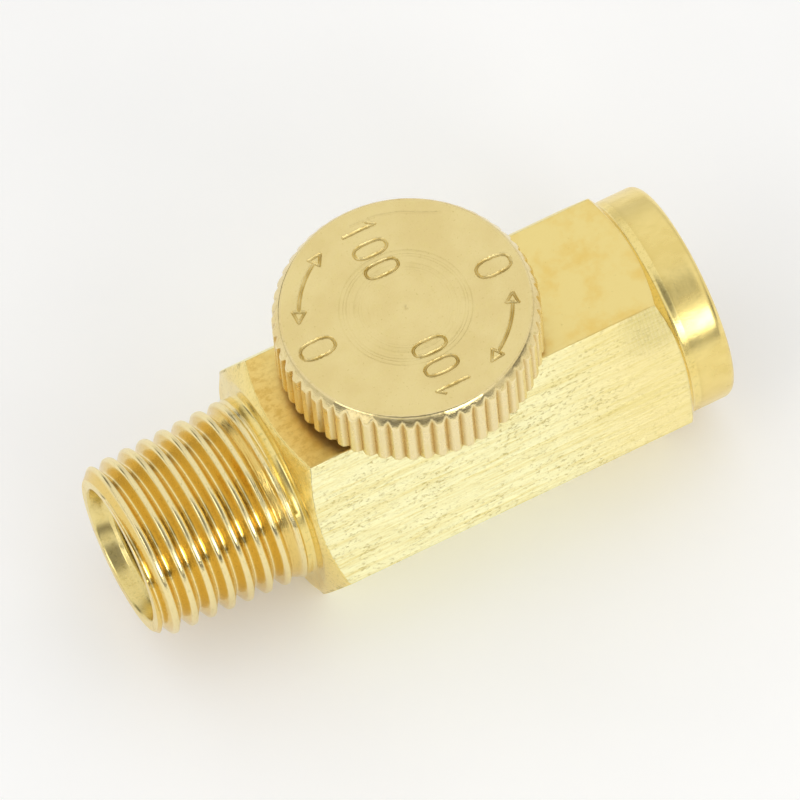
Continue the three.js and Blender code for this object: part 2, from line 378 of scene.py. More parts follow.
def inner_stations(angle):
    """(x, radius, zone) blocks from the female port's mouth back to the male end's bore."""
    block = functools.partial(stations, np.ones_like(angle))
    inner_end = FEMALE_X - FEMALE_THREAD
    pilot = FEMALE_ROOT_R - THREAD_DEPTH - TAPER * FEMALE_THREAD
    xs = thread_stations(inner_end, FEMALE_X, angle)[:, ::-1]
    root = FEMALE_ROOT_R + (xs - FEMALE_X) * TAPER
    radii = root - thread_depth(xs, angle)
    radii = soft_min(radii, pilot + (xs - inner_end) * 1.0, 0.08)
    radii = soft_max(radii, pilot + 0 * xs, 0.05)
    radii = soft_max(radii, FEMALE_ROOT_R + 0.1 + (xs - FEMALE_X) * 1.0, 0.08)
    tapped = (xs, radii, THREAD_ZONE)

    drill_x = FEMALE_X - FEMALE_DRILL
    drill_end = drill_x - (pilot - PORT_R) * DRILL_POINT
    bore_x = MALE_X + MALE_BORE
    bore_end = bore_x + (MALE_BORE_R - PORT_R) * DRILL_POINT
    passage = np.linspace(drill_end - 0.3, bore_end + 0.3, 24)
    bore = np.linspace(bore_x - 0.3, MALE_X + 1.6, 16)
    return [
        tapped,
        block([(inner_end - 0.2, pilot), (drill_x + 0.2, pilot), (drill_x + 0.03, pilot)]),
        block(
            [
                (drill_x + (drill_end - drill_x) * t, pilot + (PORT_R - pilot) * t)
                for t in (0.02, 0.25, 0.5, 0.75, 0.98)
            ]
        ),
        block([(x, PORT_R) for x in passage]),
        block(
            [
                (bore_end + (bore_x - bore_end) * t, PORT_R + (MALE_BORE_R - PORT_R) * t)
                for t in (0.03, 0.5, 0.97)
            ]
        ),
        block([(x, MALE_BORE_R) for x in bore], BORE_ZONE),
        block(
            [
                (MALE_X + 1.35, MALE_BORE_R),
                (MALE_X + 1.3, MALE_BORE_R + 0.02),
                (MALE_X + 1.12, MALE_BORE_R + 0.24),
            ],
            BORE_ZONE,
        ),
        block(
            [(MALE_X + x, ENTRY_R - ENTRY_TAPER * x) for x in (1.05, 0.8, 0.5, 0.2, 0.07)],
            BORE_ZONE,
        ),
    ]


def build_body():
    angle = bar_columns()[:, None]
    blocks = outer_stations(angle) + inner_stations(angle)
    xs = np.concatenate([b[0] for b in blocks], 1)
    radii = np.concatenate([b[1] for b in blocks], 1)
    zones = np.concatenate([np.full(b[0].shape[1], b[2]) for b in blocks])
    points = np.stack([xs, -radii * np.sin(angle), radii * np.cos(angle)], -1)
    on_top = np.abs((angle + math.pi) % TURN - math.pi) < math.pi / 6 - 1e-6
    zones = np.where(on_top & (zones[None, :] == FLAT_ZONE), TOP_ZONE, zones[None, :])
    body = grid_piece("body_shell", points, zones, ring=True)

    bore = PLUG_R + 0.05
    stub = STUB_R + 0.05
    floor_top = plug_low[2] + 2.85
    recess_top = wave_high[2] + 0.02
    recess_r = washer_high[0] + 0.2
    cutter = turned_piece(
        "bore_cutter",
        [
            [0, -FLAT - 1],
            [recess_r + 0.15, -FLAT - 1],
            [recess_r + 0.15, -FLAT],
            [recess_r, -FLAT + 0.15],
            [recess_r, recess_top],
            [stub, recess_top],
            [stub, floor_top],
            [bore, floor_top],
            [bore, FLAT - 0.2],
            [bore + 0.2, FLAT],
            [bore + 0.2, FLAT + 1],
            [0, FLAT + 1],
        ],
        round_radius=0.02,
    )
    cut(body, cutter)
    return body


# ------------------------------------------------------------------ dial knob
def rounded_digit(width, height, steps=40):
    """The outline of a 0, about its centre."""
    t = np.linspace(0, TURN, steps + 1)
    power = 0.78
    x = width / 2 * np.sign(np.cos(t)) * np.abs(np.cos(t)) ** power
    y = height / 2 * np.sign(np.sin(t)) * np.abs(np.sin(t)) ** power
    return [np.stack([x, y], 1)]


def digit_one(height):
    h = height / 2
    return [np.array([[-0.32, h * 0.62], [0.06, h], [0.06, -h]])]


def arc_arrow(radius, start, end, head=0.85, spread=0.42):
    """An arc about the knob's centre with an outlined arrowhead at each end."""
    angles = np.radians(np.linspace(start, end, 18))
    shaft = radius * np.stack([np.cos(angles), np.sin(angles)], 1)
    strokes = [shaft]
    for tip_index, inner_index in ((0, 1), (-1, -2)):
        base = shaft[tip_index]
        tangent = shaft[tip_index] - shaft[inner_index]
        tangent = tangent / np.linalg.norm(tangent)
        side = np.array([-tangent[1], tangent[0]])
        tip = base + tangent * head
        left, right = base + side * spread, base - side * spread
        strokes.append(np.array([left, tip, right, left]))
    return strokes


def dial_strokes():
    """Every struck line of the dial, in the knob's own plane; it repeats after half a turn."""
    strokes = []

    def write(glyph, centre):
        # Digits stand with their tops towards +X and read towards -Y.
        for line in glyph:
            strokes.append(np.stack([centre[0] + line[:, 1], centre[1] - line[:, 0]], 1))

    letter = 2.4
    step = 1.75
    write(digit_one(letter), (0, 5.3 + step))
    write(rounded_digit(1.12, letter), (0, 5.3))
    write(rounded_digit(1.12, letter), (0, 5.3 - step))
    write(rounded_digit(1.35, 2.5), (-6.75, 0))
    strokes.extend(arc_arrow(7.3, 122, 154))
    return strokes + [-line for line in strokes]


def distance_to_lines(points, lines):
    best = np.full(len(points), np.inf)
    for line in lines:
        for a, b in zip(line, line[1:]):
            along = b - a
            share = np.clip(((points - a) @ along) / max(along @ along, 1e-12), 0, 1)
            gap = np.linalg.norm(points - a - share[:, None] * along, axis=1)
            best = np.minimum(best, gap)
    return best


def face_relief(x, y):
    """Height of the struck and turned marks above the knob's faced top."""
    points = np.stack([x.ravel(), y.ravel()], 1)
    radius = np.hypot(x, y)
    angle = np.arctan2(y, x)
    gap = distance_to_lines(points, dial_strokes()).reshape(x.shape)
    half = 0.12
    struck = np.clip(1 - gap / half, 0, 1)
    struck = struck * (2 - struck)
    burr = np.exp(-(((gap - half - 0.03) / 0.045) ** 2))
    uneven = 0.8 + 0.2 * np.sin(x * 3.1 + 1.3) * np.sin(y * 2.7 + 0.4)
    relief = -0.16 * struck * uneven + 0.026 * burr
    wobble = 0.55 + 0.45 * np.sin(angle * 2 + 0.6) * np.sin(angle * 5 + 2)
    for ring, depth in ((4.5, 0.04), (4.28, 0.02), (3.65, 0.03), (3.5, 0.014), (2.2, 0.01)):
        relief -= depth * np.clip(wobble, 0.15, 1) * np.exp(-(((radius - ring) / 0.05) ** 2))
    relief -= 0.09 * np.exp(-((radius / 0.17) ** 2))
    scratch = [np.array([[-0.4, 7.6], [1.6, 7.5], [3.1, 7.0], [4.4, 6.2], [5.6, 5.6]])]
    gap = distance_to_lines(points, scratch).reshape(x.shape)
    relief -= 0.04 * np.exp(-((gap / 0.07) ** 2))
    return relief


def build_knob():
    per_tooth = 16
    angle = np.linspace(0, TURN, KNURL_TEETH * per_tooth + 1)[:, None]
    across = (angle * KNURL_TEETH / TURN) % 1
    groove = np.clip(1 - np.abs(across - 0.5) / 0.28, 0, 1)
    land = np.clip(np.abs(across - 0.5) - 0.25, 0, 1) / 0.25
    rim = KNOB_R - KNURL_DEPTH * (groove ** 0.85 + 0.08 * (1 - land) ** 2)

    slope = KNOB_CHAMFER / (KNOB_R - KNOB_FACE_R)
    foot_r = KNOB_R - KNURL_DEPTH - 2 * KNOB_FOOT
    foot = KNOB_BOTTOM + KNOB_FOOT
    skirt_top = KNOB_TOP - KNOB_CHAMFER + (KNOB_R - rim) * slope

    def chamfer(share):
        """Points of the slightly crowned chamfer between the skirt and the face."""
        crown = 0.028 * math.sin(math.pi * share)
        radius = rim + (KNOB_FACE_R - rim) * share + crown * 0.83
        height = skirt_top + (KNOB_TOP - skirt_top) * share + crown * 0.55
        return radius, height

    ones = np.ones_like(angle)
    socket_r = PLUG_R + 0.02
    socket_top = plug_high[2] + 0.1
    inside = [(0, socket_top), (socket_r - 0.1, socket_top), (socket_r, socket_top - 0.1)]
    inside += [(socket_r, KNOB_BOTTOM + 0.2), (socket_r + 0.05, KNOB_BOTTOM + 0.05)]
    inside += [(socket_r + 0.2, KNOB_BOTTOM), (foot_r - 1.5, KNOB_BOTTOM)]
    rows = [(r * ones, z * ones, RIM) for r, z in inside]
    rows.append((foot_r * ones, KNOB_BOTTOM * ones, RIM))
    rows.append((rim - KNOB_FOOT, KNOB_BOTTOM * ones, RIM))
    rows.append((rim - 0.02, (foot - 0.02) * ones, RIM))
    rows.append((rim, (foot + 0.04) * ones, RIM))
    rows += [(rim, foot + (skirt_top - foot) * t, RIM) for t in np.linspace(0.05, 0.95, 9)]
    rows.append((rim, skirt_top - 0.06, RIM))
    rows.append((rim - 0.012, skirt_top - 0.01, RIM))
    rows += [(*chamfer(t), CHAMFER) for t in (0.08, 0.2, 0.35, 0.5, 0.65, 0.8, 0.92)]
    rows.append(((KNOB_FACE_R - 0.02) * ones, (KNOB_TOP - 0.005) * ones, CHAMFER))
    edge = KNOB_FACE_R - 0.1
    radii = np.concatenate([
        np.linspace(edge, 7.95, 7),
        np.linspace(7.95, 2.7, 118)[1:],
        np.linspace(2.7, 0.4, 24)[1:],
        np.linspace(0.4, 0, 9)[1:],
    ])
    for radius in radii:
        relief = face_relief(radius * np.cos(angle), radius * np.sin(angle))
        rows.append((radius * ones, KNOB_TOP + relief, FACE))
    radius = np.concatenate([r[0] for r in rows], 1)
    height = np.concatenate([r[1] for r in rows], 1)
    zones = np.array([r[2] for r in rows])
    points = np.stack([radius * np.cos(angle), radius * np.sin(angle), height], -1)
    return grid_piece("dial_knob", points, zones, sharp_degrees=50)


# ------------------------------------------------------------------ plug, seals and retainers
def build_plug():
    bottom, top = plug_low[2], plug_high[2]
    groove = 0.85
    seal = (seal_low[2] + seal_high[2]) / 2
    seal_floor = 3.2
    shoulder = bottom + 2.9
    clip_bottom, clip_top = clip_low[2] - 0.02, clip_high[2] + 0.02
    plug = turned_piece(
        "plug_core",
        [
            [0, bottom],
            [STUB_R - 0.3, bottom],
            [STUB_R, bottom + 0.3],
            [STUB_R, clip_bottom],
            [STUB_R - 0.5, clip_bottom],
            [STUB_R - 0.5, clip_top],
            [STUB_R, clip_top],
            [STUB_R, shoulder],
            [PLUG_R, shoulder],
            [PLUG_R, -seal - groove],
            [seal_floor, -seal - groove],
            [seal_floor, -seal + groove],
            [PLUG_R, -seal + groove],
            [PLUG_R, seal - groove],
            [seal_floor, seal - groove],
            [seal_floor, seal + groove],
            [PLUG_R, seal + groove],
            [PLUG_R, top - 0.3],
            [PLUG_R - 0.3, top],
            [0, top],
        ],
    )
    drill = turned_piece(
        "port_cutter",
        [[0, -PLUG_R - 1], [PORT_R, -PLUG_R - 1], [PORT_R, PLUG_R + 1], [0, PLUG_R + 1]],
        segments=96,
        round_radius=0.01,
    )
    centre = Vector(crossing * MM)
    turn = Matrix.Rotation(math.pi / 2, 4, "X")
    drill.data.transform(Matrix.Translation(centre) @ turn @ Matrix.Translation(-centre))
    cut(plug, drill)
    return plug


def build_seal(name, node):
    low, high = node_box(node)
    wire = (high[2] - low[2]) / 2
    ring = (high[0] - low[0]) / 2 - wire
    t = np.linspace(0, TURN, 33)[:-1]
    profile = np.stack([ring + wire * np.cos(t), (low[2] + high[2]) / 2 + wire * np.sin(t)], 1)
    angle = np.linspace(0, TURN, 121)[:, None]
    points = np.stack(
        [profile[:, 0] * np.cos(angle), profile[:, 0] * np.sin(angle), profile[:, 1] + 0 * angle],
        -1,
    )
    return grid_piece(name, points, ring=True)


def build_washer(name, low, high, inner, round_radius=0.04):
    outer = (high[0] - low[0]) / 2
    profile = [[inner, low[2]], [outer, low[2]], [outer, high[2]], [inner, high[2]]]
    return turned_piece(name, profile, round_radius=round_radius, ring=True)


def build_wave_washer():
    thickness = 0.25
    middle = (wave_low[2] + wave_high[2]) / 2
    swing = (wave_high[2] - wave_low[2] - thickness) / 2
    outer = (wave_high[0] - wave_low[0]) / 2
    profile = [
        [2.7, middle - thickness / 2],
        [outer, middle - thickness / 2],
        [outer, middle + thickness / 2],
        [2.7, middle + thickness / 2],
    ]
    return turned_piece(
        "spring_wave_washer",
        profile,
        round_radius=0.05,
        ring=True,
        lift=lambda angle: swing * np.cos(3 * angle),
    )


def build_clip():
    """E-clip: an open ring with three prongs that reach into the plug's groove."""
    outer, inner, grip = (clip_high[1] - clip_low[1]) / 2, 3.0, 2.03
    mouth, prong = math.radians(32), math.radians(16)

    def arc(radius, start, end, steps):
        t = np.linspace(start, end, steps)
        return np.stack([radius * np.cos(t), radius * np.sin(t)], 1)

    outline = np.concatenate([
        arc(outer, mouth, TURN - mouth, 72),
        arc(grip, TURN - mouth, TURN - mouth - prong, 8),
        arc(inner, TURN - mouth - prong - 0.06, math.pi + prong + 0.06, 26),
        arc(grip, math.pi + prong, math.pi - prong, 14),
        arc(inner, math.pi - prong - 0.06, mouth + prong + 0.06, 26),
        arc(grip, mouth + prong, mouth, 8),
    ])
    ahead = np.roll(outline, -1, 0) - outline
    behind = outline - np.roll(outline, 1, 0)
    tangent = ahead / np.linalg.norm(ahead, axis=1)[:, None]
    tangent += behind / np.linalg.norm(behind, axis=1)[:, None]
    tangent /= np.linalg.norm(tangent, axis=1)[:, None]
    inward = np.stack([-tangent[:, 1], tangent[:, 0]], 1)
    ease = 0.05
    levels = [
        (clip_low[2], ease),
        (clip_low[2] + ease, 0),
        (clip_high[2] - ease, 0),
        (clip_high[2], ease),
    ]
    count = len(outline)
    points = []
    for height, inset in levels:
        ring = outline + inward * inset
        points += [(x, y, height) for x, y in ring]
    faces = [
        (row * count + i, row * count + (i + 1) % count, (row + 1) * count + (i + 1) % count,
         (row + 1) * count + i)
        for row in range(len(levels) - 1)
        for i in range(count)
    ]
    faces.append(tuple(range(count))[::-1])
    faces.append(tuple(range((len(levels) - 1) * count, len(levels) * count)))
    mesh = bpy.data.meshes.new("spring_clip")
    mesh.from_pydata(place(points).tolist(), [], faces)
    finish_mesh(mesh)
    return add_piece("spring_clip", mesh)


# ------------------------------------------------------------------ materials
class Shader:
    """A material's node tree around one Principled shader, with positions in millimetres."""

    def __init__(self, name):
        self.material = bpy.data.materials.new(name)
        self.material.use_nodes = True
        self.tree = self.material.node_tree
        self.surface = self.tree.nodes["Principled BSDF"]
        coordinates = self.add("ShaderNodeTexCoord")
        scale = self.add("ShaderNodeMapping")
        scale.inputs["Scale"].default_value = (1 / MM,) * 3
        self.tree.links.new(coordinates.outputs["Object"], scale.inputs["Vector"])
        self.position = scale.outputs["Vector"]
        self.axes = self.add("ShaderNodeSeparateXYZ")
        self.tree.links.new(self.position, self.axes.inputs[0])

    def add(self, kind, **settings):
        node = self.tree.nodes.new(kind)
        for key, value in settings.items():
            setattr(node, key, value)
        return node

    def feed(self, socket, value):
        if isinstance(value, bpy.types.NodeSocket):
            self.tree.links.new(value, socket)
        else:
            socket.default_value = value

    def noise(self, scale, detail=3.0, roughness=0.55, offset=(0, 0, 0)):
        """Noise whose scale is given per axis, in cells per millimetre."""
        stretch = self.add("ShaderNodeMapping")
        stretch.inputs["Scale"].default_value = scale
        stretch.inputs["Location"].default_value = offset
        self.feed(stretch.inputs["Vector"], self.position)
        node = self.add("ShaderNodeTexNoise")
        node.inputs["Scale"].default_value = 1
        node.inputs["Detail"].default_value = detail
        node.inputs["Roughness"].default_value = roughness
        self.feed(node.inputs["Vector"], stretch.outputs["Vector"])
        return node.outputs["Fac"]

    def ramp(self, value, low, high, to_low=0.0, to_high=1.0):
        node = self.add("ShaderNodeMapRange")
        node.interpolation_type = "SMOOTHSTEP"
        self.feed(node.inputs["Value"], value)
        node.inputs["From Min"].default_value = low
        node.inputs["From Max"].default_value = high
        node.inputs["To Min"].default_value = to_low
        node.inputs["To Max"].default_value = to_high
        return node.outputs["Result"]

    def math(self, operation, a, b=0.0):
        node = self.add("ShaderNodeMath", operation=operation)
        self.feed(node.inputs[0], a)
        self.feed(node.inputs[1], b)
        return node.outputs[0]

    def mix(self, share, a, b):
        node = self.add("ShaderNodeMix", data_type="RGBA")
        self.feed(node.inputs["Factor"], share)
        self.feed(node.inputs["A"], a)
        self.feed(node.inputs["B"], b)
        return node.outputs["Result"]

    def bump(self, height, distance, normal=None):
        node = self.add("ShaderNodeBump")
        node.inputs["Strength"].default_value = 1
        node.inputs["Distance"].default_value = distance * MM
        self.feed(node.inputs["Height"], height)
        if normal is not None:
            self.feed(node.inputs["Normal"], normal)
        return node.outputs["Normal"]

    def painted_shade_where_crowded(self, reach, tint, shade, most, closed=0.25):
        """The tint, turned towards a painted shade colour where other metal stands close by."""
        node = self.add("ShaderNodeAmbientOcclusion", samples=8)
        node.inputs["Distance"].default_value = reach * MM
        return self.mix(self.ramp(node.outputs["AO"], closed, 0.9, most, 0.0), tint, shade)

    def set(self, **inputs):
        for key, value in inputs.items():
            self.feed(self.surface.inputs[key.replace("_", " ")], value)
        return self.material


def colour(r, g, b):
    return (r, g, b, 1.0)


def drawn_brass(name, pale, deep, line_depth, roughness):
    """Hexagon bar as drawn: long hair lines along X, pits, and a patch of cross chatter."""
    s = Shader(name)
    streaks = s.noise((0.09, 3.4, 3.4), detail=5, roughness=0.8)
    hairs = s.noise((0.3, 7, 7), detail=4, roughness=0.75, offset=(7, 3, 1))
    weave = s.noise((2.6, 6, 6), detail=3, roughness=0.7, offset=(2, 8, 5))
    patch = s.ramp(s.noise((0.3, 0.5, 0.5), detail=3, offset=(9, 4, 6)), 0.35, 0.62, 0.35, 1.0)
    to_female = s.ramp(s.axes.outputs["X"], CHATTER_X - 8, CHATTER_X + 3)
    fewer = s.ramp(s.axes.outputs["X"], CHATTER_X - 4, CHATTER_X + 2, 1.0, 0.45)
    dots = s.math("MULTIPLY", s.math("MULTIPLY", s.ramp(weave, 0.53, 0.66), patch), fewer)
    tint = s.mix(to_female, pale, deep)
    tint = s.mix(s.ramp(streaks, 0.46, 0.64, 0.0, 0.6), tint, STAIN)
    tint = s.mix(s.ramp(hairs, 0.5, 0.66, 0.0, 0.6), tint, STAIN)
    tint = s.mix(s.math("MULTIPLY", dots, 0.6), tint, SCORE)

    # Chatter: short ripples across the bar near the female end's upper corners.
    near_end = s.ramp(s.axes.outputs["X"], CHATTER_X, CHATTER_X + 3)
    near_top = s.ramp(s.axes.outputs["Z"], CHATTER_Z, CHATTER_Z + 2)
    ripples = s.math("SINE", s.math("MULTIPLY", s.axes.outputs["X"], TURN / 0.27))
    chatter = s.math("MULTIPLY", s.math("MULTIPLY", near_end, near_top), ripples)
    tint = s.mix(s.math("MULTIPLY", s.ramp(chatter, 0.0, 1.0), 0.4), tint, STAIN)

    normal = s.bump(streaks, line_depth)
    normal = s.bump(hairs, line_depth * 0.5, normal)
    normal = s.bump(dots, -line_depth * 0.4, normal)
    normal = s.bump(chatter, 0.02, normal)
    rough = s.ramp(hairs, 0.3, 0.7, roughness - 0.06, roughness + 0.08)
    return s.set(Base_Color=tint, Metallic=1.0, Roughness=rough, Normal=normal)


def milled_brass(name, pale, stain, roughness):
    """The flat under the knob: fine satin grain, a few orange stains, a painted amber reflection
    and shade deeper at the male end, and painted shade beside the knob.
    """
    s = Shader(name)
    grain = s.noise((1.2, 6, 6), detail=4, roughness=0.65)
    blotch = s.ramp(s.noise((0.4, 0.4, 0.4), detail=4, roughness=0.6), 0.42, 0.68)
    coarse = s.ramp(s.noise((1.6, 2.4, 2.4), detail=5, roughness=0.75), 0.42, 0.62)
    speck = s.ramp(s.noise((3, 3, 3), detail=2, offset=(1, 5, 3)), 0.66, 0.78)
    # Painted amber reflection and shade, strongest at the male end.
    painted_reflection_to_male = s.ramp(s.axes.outputs["X"], crossing[0] - 10.5, crossing[0] - 7.5, 0.8, 0.0)
    tint = s.mix(s.math("MULTIPLY", blotch, 0.75), pale, stain)
    tint = s.mix(painted_reflection_to_male, tint, s.mix(coarse, colour(0.9, 0.64, 0.2), colour(0.72, 0.46, 0.1)))
    tint = s.mix(s.math("MULTIPLY", speck, 0.3), tint, SCORE)
    # Painted shade on the flat where the knob stands close over it.
    tint = s.painted_shade_where_crowded(2.5, tint, PAINTED_SHADE, 0.1)
    normal = s.bump(grain, 0.006)
    rough = s.ramp(grain, 0.3, 0.7, roughness - 0.05, roughness + 0.06)
    return s.set(Base_Color=tint, Metallic=1.0, Roughness=rough, Normal=normal)


def turned_brass(name, pale, deep, roughness, ring_depth=0.0015, along_x=True):
    """Lathe-turned brass: hair-fine rings round the turning axis and a faint cloudiness."""
    s = Shader(name)
    ring_scale = (9, 0.25, 0.25) if along_x else (0.25, 0.25, 9)
    rings = s.noise(ring_scale, detail=4, roughness=0.65)
    cloud = s.noise((0.35, 0.35, 0.35), detail=4)
    tint = s.mix(s.ramp(cloud, 0.35, 0.7), pale, deep)
    fine = s.noise((3, 4, 4), detail=4, roughness=0.7)
    tint = s.mix(s.ramp(fine, 0.5, 0.68, 0.0, 0.4), tint, SCORE)
    normal = s.bump(rings, ring_depth)
    normal = s.bump(fine, ring_depth * 2, normal)
    rough = s.ramp(cloud, 0.3, 0.75, roughness - 0.04, roughness + 0.06)
    return s.set(Base_Color=tint, Metallic=1.0, Roughness=rough, Normal=normal)


def collared_brass(name, pale, deep, roughness):
    """The collar: turned, clouded, with painted shade where it meets the hexagon."""
    s = Shader(name)
    rings = s.noise((7, 0.25, 0.25), detail=4, roughness=0.65)
    cloud = s.noise((0.3, 0.5, 0.5), detail=5, roughness=0.6)
    start = COLLAR_X + crossing[0]
    # Painted shade along the collar's edge beside the hexagon's chamfer.
    corner = s.ramp(s.axes.outputs["X"], start, start + 1.1, 0.75, 0.0)
    tint = s.mix(s.ramp(cloud, 0.38, 0.66), pale, deep)
    tint = s.mix(corner, tint, colour(0.72, 0.55, 0.17))
    normal = s.bump(cloud, 0.03, s.bump(rings, 0.002))
    rough = s.ramp(cloud, 0.3, 0.75, roughness - 0.04, roughness + 0.06)
    return s.set(Base_Color=tint, Metallic=1.0, Roughness=rough, Normal=normal)


def threaded_brass(name, crest, root, roughness):
    """Cut thread: pale crests, painted shade down the flanks (paler again at the very root), torn
    flanks and a slight chatter.
    """
    s = Shader(name)
    from_end = s.math("SUBTRACT", s.axes.outputs["X"], MALE_X + crossing[0])
    square_y = s.math("POWER", s.axes.outputs["Y"], 2)
    square_z = s.math("POWER", s.math("SUBTRACT", s.axes.outputs["Z"], FLAT), 2)
    radius = s.math("SQRT", s.math("ADD", square_y, square_z))
    level = s.math("SUBTRACT", radius, s.math("MULTIPLY", from_end, TAPER))
    below = s.math("SUBTRACT", MALE_CREST_R, level)
    # Painted shade: the root colour spreads down the flanks, and bottom lifts it back to the crest
    # colour at the very root.
    flank = s.ramp(below, 0.1, 0.3)
    bottom = s.ramp(below, THREAD_DEPTH - 0.14, THREAD_DEPTH - 0.04)
    torn = s.noise((2.2, 2.2, 2.2), detail=4, roughness=0.65)
    speck = s.ramp(s.noise((5, 5, 5), detail=3, roughness=0.7, offset=(3, 1, 7)), 0.56, 0.7)
    tint = s.mix(flank, crest, root)
    tint = s.mix(bottom, tint, crest)
    tint = s.mix(s.math("MULTIPLY", speck, 0.45), tint, SCORE)

    # Rings the tool leaves as it backs out beside the hexagon.
    run_out = SHOULDER_X - MALE_X
    beside = s.ramp(from_end, run_out - 3.2, run_out - 1.6)
    rings = s.math("MULTIPLY", s.noise((4.5, 0.15, 0.15), detail=3, roughness=0.7), beside)
    normal = s.bump(torn, 0.012, s.bump(rings, 0.09))
    rough = s.ramp(torn, 0.35, 0.7, roughness - 0.05, roughness + 0.12)
    return s.set(Base_Color=tint, Metallic=1.0, Roughness=rough, Normal=normal)


def knurled_brass(name, pale, groove, roughness):
    """The knob's rim: pale worn ridges, painted shade in the grooves between them and where the rim
    stands close over the body.
    """
    s = Shader(name)
    across_x = s.math("SUBTRACT", s.axes.outputs["X"], crossing[0])
    square = s.math("ADD", s.math("POWER", across_x, 2), s.math("POWER", s.axes.outputs["Y"], 2))
    radius = s.math("SQRT", square)
    # deep: painted shade in the grooves, full at their bottoms.
    deep = s.ramp(radius, KNOB_R - KNURL_DEPTH, KNOB_R - 0.03, 0.75, 0.0)
    worn = s.noise((3, 3, 1.2), detail=4, roughness=0.65)
    tint = s.mix(deep, pale, groove)
    tint = s.mix(s.ramp(worn, 0.5, 0.75, 0.0, 0.4), tint, STAIN)
    # Painted shade where the rim stands close over the body.
    tint = s.painted_shade_where_crowded(7, tint, PAINTED_SHADE, 0.8, closed=0.5)
    normal = s.bump(worn, 0.012)
    rough = s.ramp(worn, 0.3, 0.7, roughness - 0.06, roughness + 0.08)
    return s.set(Base_Color=tint, Metallic=1.0, Roughness=rough, Normal=normal)


def faced_brass(name, pale, deep, roughness):
    """The knob's faced top: satin, with faint rings round the dial's axis and grain."""
    s = Shader(name)
    struck = s.ramp(s.axes.outputs["Z"], FLAT + KNOB_TOP - 0.14, FLAT + KNOB_TOP - 0.05, 0.6, 0.0)
    offset = s.add("ShaderNodeVectorMath", operation="SUBTRACT")
    s.feed(offset.inputs[0], s.position)
    offset.inputs[1].default_value = tuple(crossing)
    flat = s.add("ShaderNodeVectorMath", operation="MULTIPLY")
    s.feed(flat.inputs[0], offset.outputs[0])
    flat.inputs[1].default_value = (1, 1, 0)
    length = s.add("ShaderNodeVectorMath", operation="LENGTH")
    s.feed(length.inputs[0], flat.outputs[0])
    rings = s.add("ShaderNodeTexNoise", noise_dimensions="1D")
    rings.inputs["Scale"].default_value = 6
    rings.inputs["Detail"].default_value = 5
    s.feed(rings.inputs["W"], length.outputs["Value"])
    grain = s.noise((9, 9, 9), detail=3, roughness=0.6)
    cloud = s.noise((0.3, 0.3, 0.3), detail=3)
    speck = s.ramp(s.noise((4.5, 4.5, 4.5), detail=3, roughness=0.7, offset=(5, 2, 9)), 0.6, 0.72)
    tint = s.mix(s.ramp(cloud, 0.35, 0.7), pale, deep)
    tint = s.mix(s.math("MULTIPLY", speck, 0.35), tint, SCORE)
    tint = s.mix(struck, tint, colour(0.4, 0.29, 0.09))
    ringed = s.math(
        "MULTIPLY",
        s.ramp(length.outputs["Value"], 4.8, 4.6),
        s.ramp(length.outputs["Value"], 2.4, 3.6, 0.2, 1.0),
    )
    worn = s.math("MULTIPLY", ringed, s.ramp(cloud, 0.35, 0.6, 0.4, 1.0))
    scored = s.math("MULTIPLY", s.ramp(rings.outputs["Fac"], 0.48, 0.68), worn)
    mottle = s.ramp(s.noise((1.4, 1.4, 1.4), detail=5, roughness=0.7), 0.45, 0.7)
    tint = s.mix(s.math("MULTIPLY", scored, 0.16), tint, SCORE)
    tint = s.mix(s.math("MULTIPLY", mottle, 0.2), tint, STAIN)
    normal = s.bump(rings.outputs["Fac"], 0.006, s.bump(scored, -0.015))
    normal = s.bump(mottle, 0.01, normal)
    normal = s.bump(grain, 0.008, normal)
    rough = s.ramp(grain, 0.3, 0.7, roughness - 0.05, roughness + 0.07)
    return s.set(Base_Color=tint, Metallic=1.0, Roughness=rough, Normal=normal)


def spring_steel(name):
    s = Shader(name)
    cloud = s.noise((0.8, 0.8, 0.8), detail=4)
    grain = s.noise((12, 12, 12), detail=2)
    tint = s.mix(s.ramp(cloud, 0.35, 0.65), colour(0.42, 0.43, 0.45), colour(0.3, 0.3, 0.31))
    rough = s.ramp(grain, 0.3, 0.7, 0.28, 0.42)
    return s.set(Base_Color=tint, Metallic=1.0, Roughness=rough, Normal=s.bump(grain, 0.003))


def seal_rubber(name):
    s = Shader(name)
    grain = s.noise((7, 7, 7), detail=3)
    tint = s.mix(s.ramp(grain, 0.3, 0.7), colour(0.012, 0.012, 0.013), colour(0.03, 0.03, 0.032))
    rough = s.ramp(grain, 0.3, 0.7, 0.38, 0.6)
    return s.set(Base_Color=tint, Roughness=rough, Normal=s.bump(grain, 0.004))


def washer_nylon(name):
    s = Shader(name)
    cloud = s.noise((0.7, 0.7, 0.7), detail=3)
    grain = s.noise((10, 10, 10), detail=2)
    tint = s.mix(s.ramp(cloud, 0.3, 0.7), colour(0.86, 0.84, 0.76), colour(0.78, 0.75, 0.65))
    s.surface.inputs["Subsurface Weight"].default_value = 0.15
    s.surface.inputs["Subsurface Scale"].default_value = 0.8 * MM
    rough = s.ramp(grain, 0.3, 0.7, 0.45, 0.6)
    return s.set(Base_Color=tint, Roughness=rough, Normal=s.bump(grain, 0.004))


# ------------------------------------------------------------------ the object
def dress(piece, body, node, slot, *materials):
    slots = piece.data.materials
    for index, material in enumerate(materials):
        if index < len(slots):
            slots[index] = material
        else:
            slots.append(material)
    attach(piece, body)
    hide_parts(node)


STAIN = colour(0.86, 0.73, 0.28)
SCORE = colour(0.52, 0.4, 0.1)
# Painted shade for crevices and close gaps between parts.
PAINTED_SHADE = colour(0.6, 0.37, 0.08)

